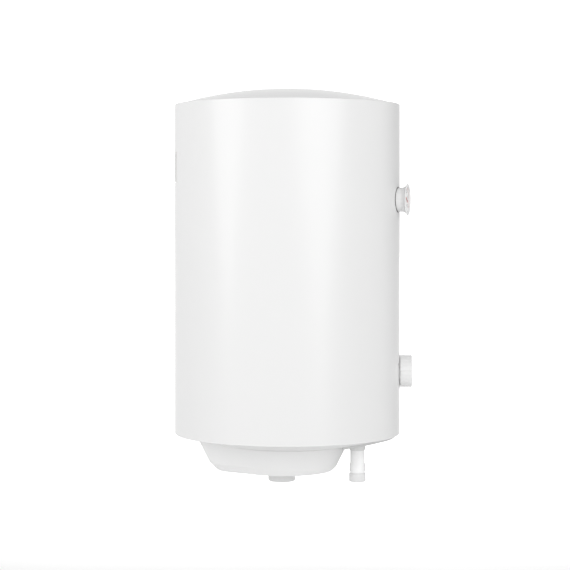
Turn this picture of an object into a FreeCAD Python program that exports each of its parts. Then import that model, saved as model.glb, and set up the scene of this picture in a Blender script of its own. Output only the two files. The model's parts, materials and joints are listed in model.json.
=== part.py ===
import FreeCAD, Part
import math
import os
import re
import Sketcher
from FreeCAD import Placement, Rotation, Vector

# A slim wall-hung electric storage water heater, 30 litres. Every piece is drawn round the heater's own
# upright axis, with height 0 at the jacket's bottom rim, and then placed so that the origin is the middle of
# the wall bracket's face: +Z up, -Y to the front, +X right as seen by a person who faces the heater. Lengths
# are in millimetres.

SIZES = {
    # how far a cutting tool runs past what it cuts
    "past": 5,
    # jacket and end caps
    "jacket_radius": 170,
    "jacket_height": 495,
    "jacket_wall": 0.7,
    "dome_foot": 165,
    "dome_rise": 23.7,
    "cap_wall": 2,
    "cap_edge": 1.5,
    "cap_lip": 2,
    "cap_skirt": 10,
    # pressure vessel
    "tank_radius": 147,
    "tank_wall": 2,
    "tank_low": 28,
    "tank_high": 468,
    "tank_dome": 24,
    # flange under the vessel
    "flange_back": 14,
    "flange_radius": 52,
    "flange_bore": 34,
    "flange_thick": 4,
    "flange_top": -17,
    "flange_room": 57,
    "gasket_thick": 3,
    "neck_top": 8,
    "bolt_ring": 44,
    "bolt_radius": 4,
    "bolt_depth": 12,
    "bolt_head": 5.5,
    "bolt_spare": 1,
    "nut_flat": 6.5,
    # heating element, anode and sensor
    "element_radius": 4.1,
    "element_spread": 18,
    "element_top": 230,
    "terminal_radius": 2.5,
    "terminal_drop": 15,
    "terminal_collar": 2,
    "anode_forward": 22,
    "anode_radius": 11,
    "anode_low": 30,
    "anode_high": 250,
    "anode_stud": 4,
    "anode_tail": 9,
    "anode_taper": 2,
    "anode_nut_height": 6.5,
    "well_back": 24,
    "well_radius": 6,
    "well_bore": 4.8,
    "well_top": 170,
    "well_tip": 4,
    "bulb_radius": 3,
    "bulb_low": -10,
    "bulb_top": 90,
    "capillary_radius": 1,
    "capillary_bend": 5,
    "capillary_start": 6,
    "capillary_turn": -12,
    "capillary_low": -34,
    # water pipes
    "pipe_half_spacing": 50,
    "pipe_forward": 106,
    "pipe_radius": 10.65,
    "pipe_bore": 8,
    "socket_radius": 12.4,
    "socket_bore": 9.3,
    "socket_length": 12.8,
    "socket_low": -65.8,
    "socket_edge": 1.2,
    "socket_shoulder": 1,
    "hot_top": 455,
    "cold_top": 48,
    "seal_radius": 11.9,
    "seal_top": -12.6,
    "seal_step": -18.2,
    "seal_low": -19.6,
    "seal_collar": 11.4,
    "seal_edge": 0.6,
    # diffuser on the cold inlet
    "diffuser_foot": 8,
    "diffuser_wall": 2,
    "diffuser_reach": 6,
    "diffuser_flare": 3,
    "diffuser_eaves": 14,
    "diffuser_crown": 17,
    "diffuser_roof": 2.5,
    "diffuser_slot_half": 3,
    "diffuser_slot_low": 5.5,
    "diffuser_slot_top": 10.5,
    # raised pad round the pipes
    "trim_half_width": 82,
    "trim_reach": 163,
    "trim_back": 84,
    "trim_thick": 3.5,
    "trim_corner": 14,
    "trim_tip": 3,
    "trim_cut": 97,
    # service cover under the bottom cap
    "cover_front_centre": 4,
    "cover_back_centre": 67.6,
    "cover_top_front": 103.5,
    "cover_top_back": 72.5,
    "cover_edge_front": 78.5,
    "cover_edge_back": 51,
    "cover_base_front": 72,
    "cover_base_back": 38,
    "cover_edge_height": -47.3,
    "cover_edge_tilt": 2.08,
    "cover_base_height": -56.2,
    "cover_wall": 2.5,
    "post_side": 62,
    "post_forward": 2,
    "post_back": 88,
    "post_radius": 4.5,
    "screw_radius": 1.9,
    "screw_head": 3.4,
    "screw_head_height": 2,
    "screw_top": -10,
    "screw_tip": 1.5,
    "screw_slot_half": 2,
    "screw_slot_side": 0.4,
    "screw_slot_depth": 1.1,
    "screw_room": -8,
    # cable gland
    "gland_back": 8.3,
    "gland_radius": 20.5,
    "gland_low": -73.2,
    "gland_edge": 3,
    "gland_mouth": 7,
    "gland_thread": 11,
    "gland_seal_low": -71,
    "gland_seal_top": -62,
    "gland_seal_bore": 4.5,
    "gland_body_bore": 6.5,
    "gland_body_top": -46,
    "lock_nut_flat": 15,
    "lock_nut_thick": 4.5,
    # wall bracket
    "bracket_height": 400,
    "bracket_face": 166.4,
    "bracket_half": 44,
    "bracket_rise": 22,
    "bracket_thick": 3,
    "bracket_bend": 2,
    "slot_half_spacing": 30,
    "slot_radius": 4.5,
    "slot_reach": 3.5,
    "window_half": 46,
    "window_rise": 22.8,
    "pocket_floor": 149.5,
    "leg_gap": 0.2,
    # thermostat, on the front low down
    "knob_height": 93.5,
    "knob_radius": 24,
    "knob_back": 170.4,
    "knob_front": 188.1,
    "knob_edge": 0.8,
    "knob_hollow": 176,
    "knob_skirt": 21.5,
    "knob_hub": 7,
    "knob_dish": 0.8,
    "knob_lift": 1.9,
    "knob_band": 4,
    "knob_slope": 1,
    "pointer_half": 0.9,
    "pointer_near": 8,
    "pointer_far": 18,
    "pointer_sink": 0.8,
    "pointer_thick": 1,
    "flute_out": 0.6,
    "flute_radius": 1.1,
    "spindle_radius": 3,
    "spindle_bore": 3.05,
    "spindle_low": 158,
    "spindle_top": 183,
    "dial_radius": 20.8,
    "dial_neck": 18.5,
    "dial_front": 171.5,
    "dial_wall": 2,
    "dial_back": 164.5,
    "dial_bore": 5,
    "dial_edge": 0.5,
    "dial_flange": 3,
    "dial_gap": 0.3,
    "housing_radius": 27,
    "housing_wall": 1.5,
    "housing_low": 149.3,
    "housing_top": 166.5,
    "stat_half": 15,
    "stat_low": 151.5,
    "stat_bush": 4.8,
    "stat_screw_side": 12,
    "stat_screw_radius": 1.5,
    "stat_screw_head": 2.8,
    "stat_screw_depth": 6,
    "stat_screw_rise": 1.2,
    "stat_screw_crown": 0.4,
    "spindle_gap": 0.5,
    "notch_half": 2,
    "channel_half": 4,
    "channel_low": 2,
    "channel_back": 153,
    "channel_front": 160,
    "channel_top": 10,
    "channel_end": 39,
    "capillary_out": 157,
    "capillary_drop": 40.5,
    # thermometer, on the front high up
    "gauge_height": 351.5,
    "gauge_turn": 11.5,
    "gauge_radius": 16,
    "gauge_bore": 14,
    "gauge_low": 149.5,
    "bezel_base": 18,
    "bezel_rim": 23.5,
    "bezel_flare_low": 176,
    "bezel_flare_top": 184.2,
    "bezel_front": 185.2,
    "bezel_seat": 18.6,
    "bezel_lip": 19.8,
    "bezel_edge": 0.4,
    "bezel_flange": 3,
    "gauge_floor": 2,
    "dial_plate": 182.2,
    "dial_plate_thick": 0.6,
    "lens_low": 184.1,
    "lens_thick": 0.7,
    "needle_low": 183.15,
    "needle_thick": 0.4,
    "needle_reach": 15,
    "needle_tail": 7,
    "needle_tip": 0.3,
    "needle_middle": 1.2,
    "needle_end": 1.8,
    "pivot_gap": 0.3,
    "pivot_radius": 0.6,
    "pivot_bore": 0.65,
    # electrical parts under the flange
    "strip_low": -28,
    "strip_thick": 1.5,
    "strip_left": 49,
    "strip_right": 56,
    "strip_half": 9,
    "strip_hole": 6,
    "block_low": -44,
    "block_left": 34,
    "block_front": -2,
    "block_back": 30,
    "block_well": 2.5,
    "block_well_depth": 5,
    "block_well_side": 45,
    "block_well_front": 5,
    "block_well_step": 9,
    "block_screw_radius": 2.4,
    "block_screw_height": 3,
    "block_slot_half": 3,
    "block_slot_side": 0.3,
    "block_slot_depth": 1,
    "cutout_side": 36,
    "cutout_radius": 12,
    "cutout_nose": 9,
    "cutout_step": 5,
    "cutout_depth": 4,
    "button_radius": 2.5,
    "button_bore": 2.56,
    "button_low": -46.5,
    "button_length": 8,
    "button_edge": 0.5,
    "earth_side": 20,
    "earth_front": 12,
    "earth_radius": 2,
    "earth_length": 9,
    "earth_nut_flat": 3.5,
    "earth_nut_low": 4,
    "earth_nut_height": 3.2,
    "wire_radius": 1.2,
    "wire_bend": 3,
}
BOLTS = 6
FLUTES = 18
DIFFUSER_SLOTS = 6
BLOCK_SCREWS = 3
KNOB_REST = 135
NEEDLE_REST = 67.5
TINY = 1e-6

doc = FreeCAD.newDocument("tank_water_heater")
sheet = doc.addObject("Spreadsheet::Sheet", "Sizes")
for row, (name, size) in enumerate(SIZES.items(), start=1):
    sheet.set(f"A{row}", name)
    sheet.set(f"B{row}", str(size))
    sheet.setAlias(f"B{row}", name)
doc.recompute()

UPRIGHT = Rotation()
TO_FRONT = Rotation(Vector(1, 0, 0), 90)
GAUGE_FRONT = Rotation(Vector(0, 0, 1), -SIZES["gauge_turn"]).multiply(TO_FRONT)
AT_KNOB = {"z": "knob_height", "turn": TO_FRONT}
AT_GAUGE = {"z": "gauge_height", "turn": GAUGE_FRONT}
pieces = {}


# ---- formulas and sketches -----------------------------------------------------------------------


def formula(text):
    """TEXT with the name of each size turned into a reference to the sheet."""
    return re.sub(r"[a-z_]+", lambda word: f"Sizes.{word[0]}" if word[0] in SIZES else word[0], text)


def number(text):
    """What the formula TEXT comes to."""
    return float(sheet.evalExpression(formula(text)))


def dome_radius(foot, rise):
    """The radius of the sphere that stands RISE high on a circle of radius FOOT."""
    return f"((({foot}) ^ 2 + ({rise}) ^ 2) / (2 * ({rise})))"


PLATE_LOW = "flange_top - flange_thick"
STAT_SCREWS = (("left", "-stat_screw_side"), ("right", "stat_screw_side"))
POINTER = (
    ("-pointer_half", "pointer_near"),
    ("pointer_half", "pointer_near"),
    ("pointer_half", "pointer_far"),
    ("-pointer_half", "pointer_far"),
)
CAP_SPHERE = dome_radius("dome_foot", "dome_rise")
TANK_SPHERE = dome_radius("tank_radius", "tank_dome")
TANK_INNER_SPHERE = dome_radius("tank_radius - tank_wall", "tank_dome - tank_wall")


def finish(name, shape):
    """SHAPE becomes the piece NAME."""
    shape.Label = name
    pieces[name] = shape
    return shape


def locate(shape, x="0", y="0", z="0", turn=UPRIGHT):
    """Places SHAPE at a point of the heater, moved so that the origin is on the wall bracket."""
    shape.Placement = Placement(Vector(), turn)
    shape.setExpression("Placement.Base.x", formula(x))
    shape.setExpression("Placement.Base.y", formula(f"({y}) - bracket_face"))
    shape.setExpression("Placement.Base.z", formula(f"({z}) - bracket_height"))
    return shape


def new_body(name, **place):
    return locate(doc.addObject("PartDesign::Body", name), **place)


def new_sketch(body, plane="XY_Plane", lift="0", turn=UPRIGHT):
    """An empty sketch on one of the body's own origin planes, LIFT along the plane's normal."""
    sketch = body.newObject("Sketcher::SketchObject", f"{body.Name}_sketch")
    sketch.AttachmentSupport = [(next(f for f in body.Origin.OriginFeatures if f.Role == plane), "")]
    sketch.MapMode = "FlatFace"
    sketch.AttachmentOffset = Placement(Vector(), turn)
    sketch.setExpression("AttachmentOffset.Base.z", formula(lift))
    return sketch


def bind(sketch, constraint, text):
    """Adds a sized constraint that takes its value from the formula TEXT."""
    index = sketch.addConstraint(constraint)
    sketch.setExpression(f"Constraints[{index}]", formula(text))


def pin_point(sketch, edge, end, x, y):
    """Holds one point of the sketch at (X, Y)."""
    bind(sketch, Sketcher.Constraint("DistanceX", -1, 1, edge, end, number(x)), x)
    bind(sketch, Sketcher.Constraint("DistanceY", -1, 1, edge, end, number(y)), y)


def arc_between(start, end, radius):
    """The short arc that goes anticlockwise from START to END."""
    chord = end - start
    rise = math.sqrt(max(radius**2 - chord.Length**2 / 4, 0))
    centre = (start + end) / 2 + Vector(-chord.y, chord.x, 0).normalize() * rise
    angles = [math.atan2(point.y - centre.y, point.x - centre.x) for point in (start, end)]
    return Part.ArcOfCircle(Part.Circle(centre, Vector(0, 0, 1), radius), *angles)


def outline(sketch, *corners):
    """Closes an outline through CORNERS, each (x, y), with an arc to the next corner where a radius follows.

    The arc runs anticlockwise, or clockwise where its radius starts with a minus sign. The two corners of a
    half circle are one above the other."""
    base = sketch.GeometryCount
    points = [Vector(number(corner[0]), number(corner[1]), 0) for corner in corners]
    ends = []
    for index, corner in enumerate(corners):
        start, after = points[index], points[(index + 1) % len(points)]
        if len(corner) == 2:
            sketch.addGeometry(Part.LineSegment(start, after))
            ends.append((1, 2))
            continue
        radius = corner[2].lstrip("-")
        clockwise = corner[2].startswith("-")
        near, far = (after, start) if clockwise else (start, after)
        sketch.addGeometry(arc_between(near, far, number(radius)))
        ends.append((2, 1) if clockwise else (1, 2))
        if abs(number(radius) - (after - start).Length / 2) > TINY:
            bind(sketch, Sketcher.Constraint("Radius", base + index, number(radius)), radius)
        else:
            middle = Sketcher.Constraint("DistanceX", -1, 1, base + index, 3, number(corner[0]))
            bind(sketch, middle, corner[0])
    for index, corner in enumerate(corners):
        following = (index + 1) % len(corners)
        last, first = ends[index][1], ends[following][0]
        sketch.addConstraint(Sketcher.Constraint("Coincident", base + index, last, base + following, first))
        pin_point(sketch, base + index, ends[index][0], corner[0], corner[1])
    return sketch


def circles(sketch, *discs):
    """Draws a circle for each (x, y, radius)."""
    for x, y, radius in discs:
        centre = Vector(number(x), number(y), 0)
        edge = sketch.addGeometry(Part.Circle(centre, Vector(0, 0, 1), number(radius)))
        pin_point(sketch, edge, 3, x, y)
        bind(sketch, Sketcher.Constraint("Radius", edge, number(radius)), radius)
    return sketch


# ---- features ------------------------------------------------------------------------------------


def turn_profile(body, kind, sketch):
    """Turns SKETCH once round the body's upright axis, as a Revolution or a Groove."""
    feature = body.newObject(f"PartDesign::{kind}", f"{body.Name}_{kind.lower()}")
    feature.Profile = sketch
    feature.ReferenceAxis = (sketch, ["V_Axis"])
    feature.Angle = 360
    return feature


def extrude(body, kind, sketch, length, backwards=False, middle=False):
    """Takes SKETCH along its normal for a Pad, or against it for a Pocket, by LENGTH."""
    feature = body.newObject(f"PartDesign::{kind}", f"{body.Name}_{kind.lower()}")
    feature.Profile = sketch
    feature.Reversed = backwards
    feature.Midplane = middle
    feature.setExpression("Length", formula(length))
    return feature


def drill(body, low, depth, *discs):
    """Cuts round holes upwards from the height LOW."""
    return extrude(body, "Pocket", circles(new_sketch(body, lift=low), *discs), depth, backwards=True)


def ring_pattern(body, feature, count):
    """Repeats FEATURE round the body's upright axis."""
    pattern = body.newObject("PartDesign::PolarPattern", f"{body.Name}_pattern")
    pattern.Originals = [feature]
    pattern.Axis = (next(f for f in body.Origin.OriginFeatures if f.Role == "Z_Axis"), [""])
    pattern.Angle = 360
    pattern.Occurrences = count
    body.Tip = pattern
    return pattern


def turned(name, *corners, **place):
    """A body turned from the half outline CORNERS, each (distance from the axis, height)."""
    body = new_body(name, **place)
    turn_profile(body, "Revolution", outline(new_sketch(body, "XZ_Plane"), *corners))
    return body


def rod(name, radius, low, high, bore=None, **place):
    """A round bar, or a tube where it has a BORE."""
    inner = bore or "0"
    return turned(name, (inner, low), (radius, low), (radius, high), (inner, high), **place)


def block(name, low, high, **place):
    """A box between two corners of the heater's frame, or of the frame that PLACE turns."""
    box = doc.addObject("Part::Box", name)
    for side, near, far in zip(("Length", "Width", "Height"), low, high):
        box.setExpression(side, formula(f"({far}) - ({near})"))
    return locate(box, *low, **place)


def take_away(name, blank, *tools):
    """BLANK with TOOLS cut out of it."""
    for index, tool in enumerate(tools, start=1):
        cut = doc.addObject("Part::Cut", f"{name}_cut_{index}")
        cut.Base = blank
        cut.Tool = tool
        blank = cut
    return blank


def group(name, *solids):
    """Several separate solids as one piece."""
    compound = doc.addObject("Part::Compound", name)
    compound.Links = list(solids)
    return finish(name, compound)


def bent_rod(name, radius, bend, *route):
    """A round rod along straight runs joined by arcs of radius BEND, with ROUTE in the heater's frame."""
    shift = Vector(0, -number("bracket_face"), -number("bracket_height"))
    curve = number(bend)
    points = [Vector(*(number(value) for value in point)) for point in route]
    edges = []
    start = points[0]
    for before, corner, after in zip(points, points[1:], points[2:]):
        inward = (before - corner).normalize()
        onward = (after - corner).normalize()
        half = inward.getAngle(onward) / 2
        setback = curve / math.tan(half)
        middle = corner + (inward + onward).normalize() * (curve / math.sin(half) - curve)
        edges.append(Part.LineSegment(start, corner + inward * setback).toShape())
        edges.append(Part.Arc(corner + inward * setback, middle, corner + onward * setback).toShape())
        start = corner + onward * setback
    edges.append(Part.LineSegment(start, points[-1]).toShape())
    path = Part.Wire(edges)
    section = Part.Wire(Part.makeCircle(number(radius), points[0], points[1] - points[0]))
    piece = doc.addObject("Part::Feature", name)
    piece.Shape = path.makePipeShell([section], True, True)
    piece.Placement = Placement(shift, UPRIGHT)
    return finish(name, piece)


# ---- jacket, end caps and insulation -------------------------------------------------------------

INNER_JACKET = "jacket_radius - jacket_wall"
INNER_SKIRT = "jacket_radius - jacket_wall - cap_wall"


def cap_outline(up):
    """The half outline of an end cap: UP turns heights over the top rim into heights of this cap."""
    return (
        ("0", up("dome_rise")),
        ("dome_foot", up("0")),
        ("jacket_radius - cap_edge", up("0")),
        ("jacket_radius", up("-cap_edge")),
        ("jacket_radius", up("-cap_lip")),
        (INNER_JACKET, up("-cap_lip")),
        (INNER_JACKET, up("-cap_lip - cap_skirt")),
        (INNER_SKIRT, up("-cap_lip - cap_skirt")),
        (INNER_SKIRT, up("-cap_wall")),
        ("dome_foot", up("-cap_wall")),
        ("0", up("dome_rise - cap_wall")),
    )


def with_arcs(corners, arcs):
    """CORNERS with an arc's radius added after each corner that ARCS names by its place in the list."""
    return [corner + ((arcs[index],) if index in arcs else ()) for index, corner in enumerate(corners)]


def above_top(rise):
    return f"jacket_height + ({rise})"


def below_bottom(rise):
    return f"-({rise})"


def outer_jacket():
    """The painted sheet-steel cylinder, with its window for the bracket and two round holes on the front."""
    tube = rod("jacket_tube", "jacket_radius", "cap_lip", "jacket_height - cap_lip", bore=INNER_JACKET)
    window = block(
        "jacket_window",
        ("-window_half", "tank_radius", "bracket_height - window_rise"),
        ("window_half", "jacket_radius + past", "bracket_height + window_rise"),
    )
    knob_hole = rod("knob_hole", "dial_neck", "tank_radius", "jacket_radius + past", **AT_KNOB)
    gauge_hole = rod("gauge_hole", "gauge_radius", "tank_radius", "jacket_radius + past", **AT_GAUGE)
    return finish("outer_jacket", take_away("jacket", tube, window, knob_hole, gauge_hole))


def top_cap():
    corners = with_arcs(cap_outline(above_top), {0: f"-{CAP_SPHERE}", 2: "-cap_edge", 9: CAP_SPHERE})
    finish("top_cap", turned("top_cap", *corners))


def bottom_cap():
    """The lower end cap, open over the flange, with holes for the pipe seals and the cover's screws."""
    corners = with_arcs(cap_outline(below_bottom), {0: CAP_SPHERE, 2: "cap_edge", 9: f"-{CAP_SPHERE}"})
    body = turned("bottom_cap", *corners)
    room = ("0", "flange_back", "flange_room")
    drill(body, "-dome_rise - past", "2 * dome_rise", room, *pipe_discs("seal_radius"))
    drill(body, "-dome_rise - past", "2 * dome_rise", *post_discs("screw_radius"))
    finish("bottom_cap", body)


def pipe_discs(radius):
    return [(side, "-pipe_forward", radius) for side in ("-pipe_half_spacing", "pipe_half_spacing")]


def post_discs(radius):
    return [
        ("-post_side", "-post_forward", radius),
        ("post_side", "-post_forward", radius),
        ("0", "post_back", radius),
    ]


def foam_insulation():
    """Foam that fills the space between the vessel and the jacket, with its pockets and channels."""
    body = turned(
        "foam",
        ("0", "jacket_height + dome_rise - cap_wall", f"-{CAP_SPHERE}"),
        ("dome_foot", "jacket_height - cap_wall"),
        (INNER_SKIRT, "jacket_height - cap_wall"),
        (INNER_SKIRT, "jacket_height - cap_lip - cap_skirt"),
        (INNER_JACKET, "jacket_height - cap_lip - cap_skirt"),
        (INNER_JACKET, "cap_lip + cap_skirt"),
        (INNER_SKIRT, "cap_lip + cap_skirt"),
        (INNER_SKIRT, "cap_wall"),
        ("dome_foot", "cap_wall", f"-{CAP_SPHERE}"),
        ("0", "cap_wall - dome_rise"),
        ("0", "tank_low - tank_dome", TANK_SPHERE),
        ("tank_radius", "tank_low"),
        ("tank_radius", "tank_high", TANK_SPHERE),
        ("0", "tank_high + tank_dome"),
    )
    drill(body, "-dome_rise - past", "dome_rise + tank_low", ("0", "flange_back", "flange_room"))
    drill(body, "-dome_rise - past", "dome_rise + tank_low + past", *pipe_discs("pipe_radius"))
    drill(body, "-dome_rise", "dome_rise + screw_room", *post_discs("screw_radius"))
    pocket = block(
        "bracket_pocket",
        ("-window_half", "pocket_floor", "bracket_height - window_rise"),
        ("window_half", "jacket_radius + past", "bracket_height + window_rise"),
    )
    leg_rise = "bracket_rise + leg_gap"
    legs = [
        block(
            f"leg_slot_{side}",
            (f"{near} - leg_gap", "tank_radius / 2", f"bracket_height - ({leg_rise})"),
            (f"{near} + bracket_thick + leg_gap", "pocket_floor + past", f"bracket_height + {leg_rise}"),
        )
        for side, near in (("left", "-bracket_half"), ("right", "bracket_half - bracket_thick"))
    ]
    knob_well = rod("knob_well", "housing_radius", "housing_low", "jacket_radius + past", **AT_KNOB)
    gauge_well = rod("gauge_well", "gauge_radius", "gauge_low", "jacket_radius + past", **AT_GAUGE)
    down = block(
        "channel_down",
        ("-channel_half", "-jacket_radius", "channel_low"),
        ("channel_half", "-channel_back", "knob_height"),
    )
    across = block(
        "channel_across",
        ("-channel_half", "-channel_front", "-dome_rise - past"),
        ("channel_half", "-channel_end", "channel_top"),
    )
    cut = take_away("foam", body, pocket, *legs, knob_well, gauge_well, down, across)
    finish("foam_insulation", cut)


# ---- pressure vessel and what its flange carries -------------------------------------------------


def tank():
    """The enamelled vessel: a cylinder and two dished ends, the lower one with the flange neck."""
    bore = "tank_radius - tank_wall"
    finish("tank_shell", rod("tank_shell", "tank_radius", "tank_low", "tank_high", bore=bore))
    upper = (
        ("0", "tank_high + tank_dome", f"-{TANK_SPHERE}"),
        ("tank_radius", "tank_high"),
        ("tank_radius - tank_wall", "tank_high", TANK_INNER_SPHERE),
        ("0", "tank_high + tank_dome - tank_wall"),
    )
    lower = (
        ("0", "tank_low - tank_dome", TANK_SPHERE),
        ("tank_radius", "tank_low"),
        ("tank_radius - tank_wall", "tank_low", f"-{TANK_INNER_SPHERE}"),
        ("0", "tank_low - tank_dome + tank_wall"),
    )
    finish("tank_top_dome", turned("tank_top_dome", *upper))
    body = turned("tank_bottom_dome", *lower)
    neck = circles(new_sketch(body, lift="flange_top + gasket_thick"), ("0", "flange_back", "flange_radius"))
    extrude(body, "Pad", neck, "neck_top - flange_top - gasket_thick")
    drill(body, "flange_top", "neck_top - flange_top + 2 * past", ("0", "flange_back", "flange_bore"))
    drill(body, "flange_top", "bolt_depth + gasket_thick", *bolt_discs("bolt_radius", "flange_back"))
    drill(body, "flange_top", "tank_low - flange_top + 2 * past", *pipe_discs("pipe_radius"))
    finish("tank_bottom_dome", body)


def bolt_discs(radius, middle="0"):
    """Circles of RADIUS on the flange's bolt ring, whose centre is MIDDLE along the depth."""
    angles = [360 / BOLTS * index for index in range(BOLTS)]
    return [(f"bolt_ring * cos({angle})", f"{middle} + bolt_ring * sin({angle})", radius) for angle in angles]


def flange_pieces():
    """The gasket, the plate and the bolts that hold them to the neck."""
    top = "flange_top + gasket_thick"
    gasket = rod("flange_gasket", "flange_radius", "flange_top", top, bore="flange_bore", y="flange_back")
    drill(gasket, "flange_top", "gasket_thick", *bolt_discs("bolt_radius"))
    finish("flange_gasket", gasket)
    plate = rod("flange_plate", "flange_radius", PLATE_LOW, "flange_top", y="flange_back")
    holes = [
        ("-element_spread", "0", "element_radius"),
        ("element_spread", "0", "element_radius"),
        ("0", "-anode_forward", "anode_stud"),
        ("0", "well_back", "well_radius"),
    ]
    drill(plate, PLATE_LOW, "flange_thick", *holes, *bolt_discs("bolt_radius"))
    finish("flange_plate", plate)
    bolts = []
    for index, (x, y, radius) in enumerate(bolt_discs("bolt_radius", "flange_back")):
        bolt = new_body(f"bolt_{index}", x=x, y=y)
        head = outline(new_sketch(bolt, lift=f"{PLATE_LOW} - bolt_head"), *hexagon("nut_flat"))
        extrude(bolt, "Pad", head, "bolt_head")
        shank = circles(new_sketch(bolt, lift=PLATE_LOW), ("0", "0", radius))
        extrude(bolt, "Pad", shank, "flange_thick + gasket_thick + bolt_depth - bolt_spare")
        bolts.append(bolt)
    group("flange_bolts", *bolts)


def hexagon(across):
    """The corners of a hexagon whose flats are ACROSS from the middle."""
    reach = f"{across} / cos(30)"
    return [(f"{reach} * cos({angle})", f"{reach} * sin({angle})") for angle in range(30, 390, 60)]


def heating_element():
    """A hairpin tube whose two ends pass through the flange plate, and its two screw terminals."""
    body = new_body("heating_element", y="flange_back")
    ring = circles(new_sketch(body, lift=PLATE_LOW), ("-element_spread", "0", "element_radius"))
    path = new_sketch(body, "XZ_Plane")
    low, high = number(PLATE_LOW), number("element_top")
    side = number("element_spread")
    path.addGeometry(Part.LineSegment(Vector(-side, low, 0), Vector(-side, high, 0)))
    path.addGeometry(arc_between(Vector(side, high, 0), Vector(-side, high, 0), side))
    path.addGeometry(Part.LineSegment(Vector(side, high, 0), Vector(side, low, 0)))
    path.addConstraint(Sketcher.Constraint("Coincident", 0, 2, 1, 2))
    path.addConstraint(Sketcher.Constraint("Coincident", 1, 1, 2, 1))
    pin_point(path, 0, 1, "-element_spread", PLATE_LOW)
    pin_point(path, 0, 2, "-element_spread", "element_top")
    bind(path, Sketcher.Constraint("DistanceY", -1, 1, 1, 3, high), "element_top")
    pin_point(path, 2, 1, "element_spread", "element_top")
    pin_point(path, 2, 2, "element_spread", PLATE_LOW)
    sweep = body.newObject("PartDesign::AdditivePipe", "element_sweep")
    sweep.Profile = ring
    sweep.Spine = path
    finish("heating_element", body)
    ends = []
    for name, side in (("left", "-element_spread"), ("right", "element_spread")):
        stud = turned(
            f"terminal_{name}",
            ("0", PLATE_LOW),
            ("element_radius", PLATE_LOW),
            ("element_radius", f"{PLATE_LOW} - terminal_collar"),
            ("terminal_radius", f"{PLATE_LOW} - terminal_collar"),
            ("terminal_radius", f"{PLATE_LOW} - terminal_drop"),
            ("0", f"{PLATE_LOW} - terminal_drop"),
            x=side,
            y="flange_back",
        )
        ends.append(stud)
    group("element_terminals", *ends)


def anode_and_sensor():
    """The magnesium anode on its stud, the sensor's well, and the bulb and capillary of the thermostat."""
    anode_y = "flange_back - anode_forward"
    anode = turned(
        "anode_rod",
        ("0", f"{PLATE_LOW} - anode_tail"),
        ("anode_stud", f"{PLATE_LOW} - anode_tail"),
        ("anode_stud", "anode_low"),
        ("anode_radius", "anode_low"),
        ("anode_radius", "anode_high - anode_taper"),
        ("anode_radius - anode_taper", "anode_high"),
        ("0", "anode_high"),
        y=anode_y,
    )
    finish("anode_rod", anode)
    nut = new_body("anode_nut", y=anode_y)
    sketch = outline(new_sketch(nut, lift=f"{PLATE_LOW} - anode_nut_height"), *hexagon("nut_flat"))
    extrude(nut, "Pad", circles(sketch, ("0", "0", "anode_stud")), "anode_nut_height")
    finish("anode_nut", nut)
    well_y = "flange_back + well_back"
    well = turned(
        "thermowell",
        ("well_bore", PLATE_LOW),
        ("well_radius", PLATE_LOW),
        ("well_radius", "well_top - well_tip"),
        ("well_radius - well_tip", "well_top"),
        ("0", "well_top"),
        ("0", "well_top - well_tip"),
        ("well_bore", "well_top - well_tip"),
        y=well_y,
    )
    finish("thermowell", well)
    finish("sensor_bulb", rod("sensor_bulb", "bulb_radius", "bulb_low", "bulb_top", y=well_y))
    bent_rod(
        "capillary_tube",
        "capillary_radius",
        "capillary_bend",
        ("0", "-capillary_out", "knob_height - stat_half"),
        ("0", "-capillary_out", "capillary_start"),
        ("0", "-capillary_drop", "capillary_turn"),
        ("0", "-capillary_drop", "capillary_low"),
        ("0", well_y, "capillary_low"),
        ("0", well_y, "bulb_low"),
    )


# ---- water pipes and the pad round them ----------------------------------------------------------


def water_pipes():
    """The two steel pipes, their end sockets, their rubber seals and the diffuser over the cold inlet."""
    pipe_low = "socket_low + socket_length"
    seals = []
    for name, side, top in (
        ("hot_outlet", "-pipe_half_spacing", "hot_top"),
        ("cold_inlet", "pipe_half_spacing", "cold_top"),
    ):
        where = {"x": side, "y": "-pipe_forward"}
        finish(f"{name}_pipe", rod(f"{name}_pipe", "pipe_radius", pipe_low, top, bore="pipe_bore", **where))
        socket = turned(
            f"{name}_socket",
            ("socket_bore", "socket_low"),
            ("socket_radius - socket_edge", "socket_low", "socket_edge"),
            ("socket_radius", "socket_low + socket_edge"),
            ("socket_radius", f"{pipe_low} - socket_shoulder"),
            ("socket_radius - socket_shoulder", pipe_low),
            ("socket_bore", pipe_low),
            **where,
        )
        finish(f"{name}_socket", socket)
        seal = turned(
            f"{name}_seal",
            ("pipe_radius", "seal_low"),
            ("seal_collar - seal_edge", "seal_low"),
            ("seal_collar", "seal_low + seal_edge"),
            ("seal_collar", "seal_step"),
            ("seal_radius", "seal_step"),
            ("seal_radius", "seal_top"),
            ("pipe_radius", "seal_top"),
            **where,
        )
        seals.append(seal)
    group("pipe_seals", *seals)
    inlet_diffuser()


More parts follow.
